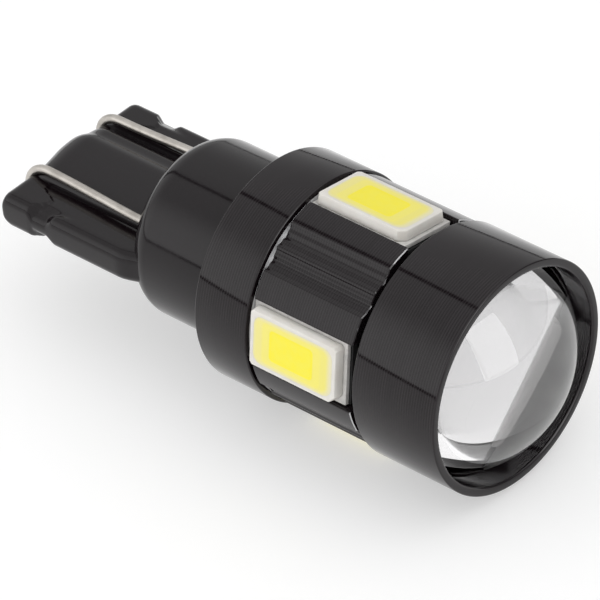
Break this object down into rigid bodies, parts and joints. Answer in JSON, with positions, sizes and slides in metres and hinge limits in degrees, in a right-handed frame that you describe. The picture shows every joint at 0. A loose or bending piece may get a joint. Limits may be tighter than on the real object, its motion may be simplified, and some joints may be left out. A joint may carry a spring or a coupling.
{
  "type": "wedge base LED bulb",
  "caption": "Wedge base LED bulb with a black turned heat sink, flat LED packages around its middle and a domed lens at the front.",
  "frame": {"origin": "middle of the small flat land at the end of the wedge", "axes": "+X along the bulb from the wedge to the lens; +Y across the width of the wedge; +Z normal to the wedge's broad face"},
  "size_m": [0.0313, 0.0122, 0.0122],
  "materials": {
    "base_plastic": "satin black moulded plastic",
    "tinned_wire": "drawn tinned wire, satin",
    "black_anodised": "turned and anodised black, satin",
    "side_board_mask": "black board",
    "front_board_mask": "white board",
    "driver_board_mask": "green board",
    "led_lead": "tinned leads",
    "led_housing": "off-white moulding",
    "led_phosphor": "yellow silicone, slightly glossy",
    "clear_lens": "clear polished lens",
    "feed_insulation": "insulated wire",
    "chip_resin": "black resin",
    "capacitor_ceramic": "ceramic"
  },
  "bodies": {
    "root": {"capacitor": "capacitor_ceramic", "contact_wire_left": "tinned_wire", "contact_wire_right": "tinned_wire", "driver_board": "driver_board_mask", "driver_chip": "chip_resin", "feed_wire_left": "feed_insulation", "feed_wire_right": "feed_insulation", "front_board": "front_board_mask", "front_led_base": "led_lead", "front_led_body": "led_housing", "front_led_phosphor": "led_phosphor", "heat_sink": "black_anodised", "lens": "clear_lens", "rectifier": "chip_resin", "resistor_1": "chip_resin", "resistor_2": "chip_resin", "side_board_1": "side_board_mask", "side_board_2": "side_board_mask", "side_board_3": "side_board_mask", "side_board_4": "side_board_mask", "side_led_base_1": "led_lead", "side_led_base_2": "led_lead", "side_led_base_3": "led_lead", "side_led_base_4": "led_lead", "side_led_body_1": "led_housing", "side_led_body_2": "led_housing", "side_led_body_3": "led_housing", "side_led_body_4": "led_housing", "side_led_phosphor_1": "led_phosphor", "side_led_phosphor_2": "led_phosphor", "side_led_phosphor_3": "led_phosphor", "side_led_phosphor_4": "led_phosphor", "wedge_base": "base_plastic"}
  },
  "joints": []
}
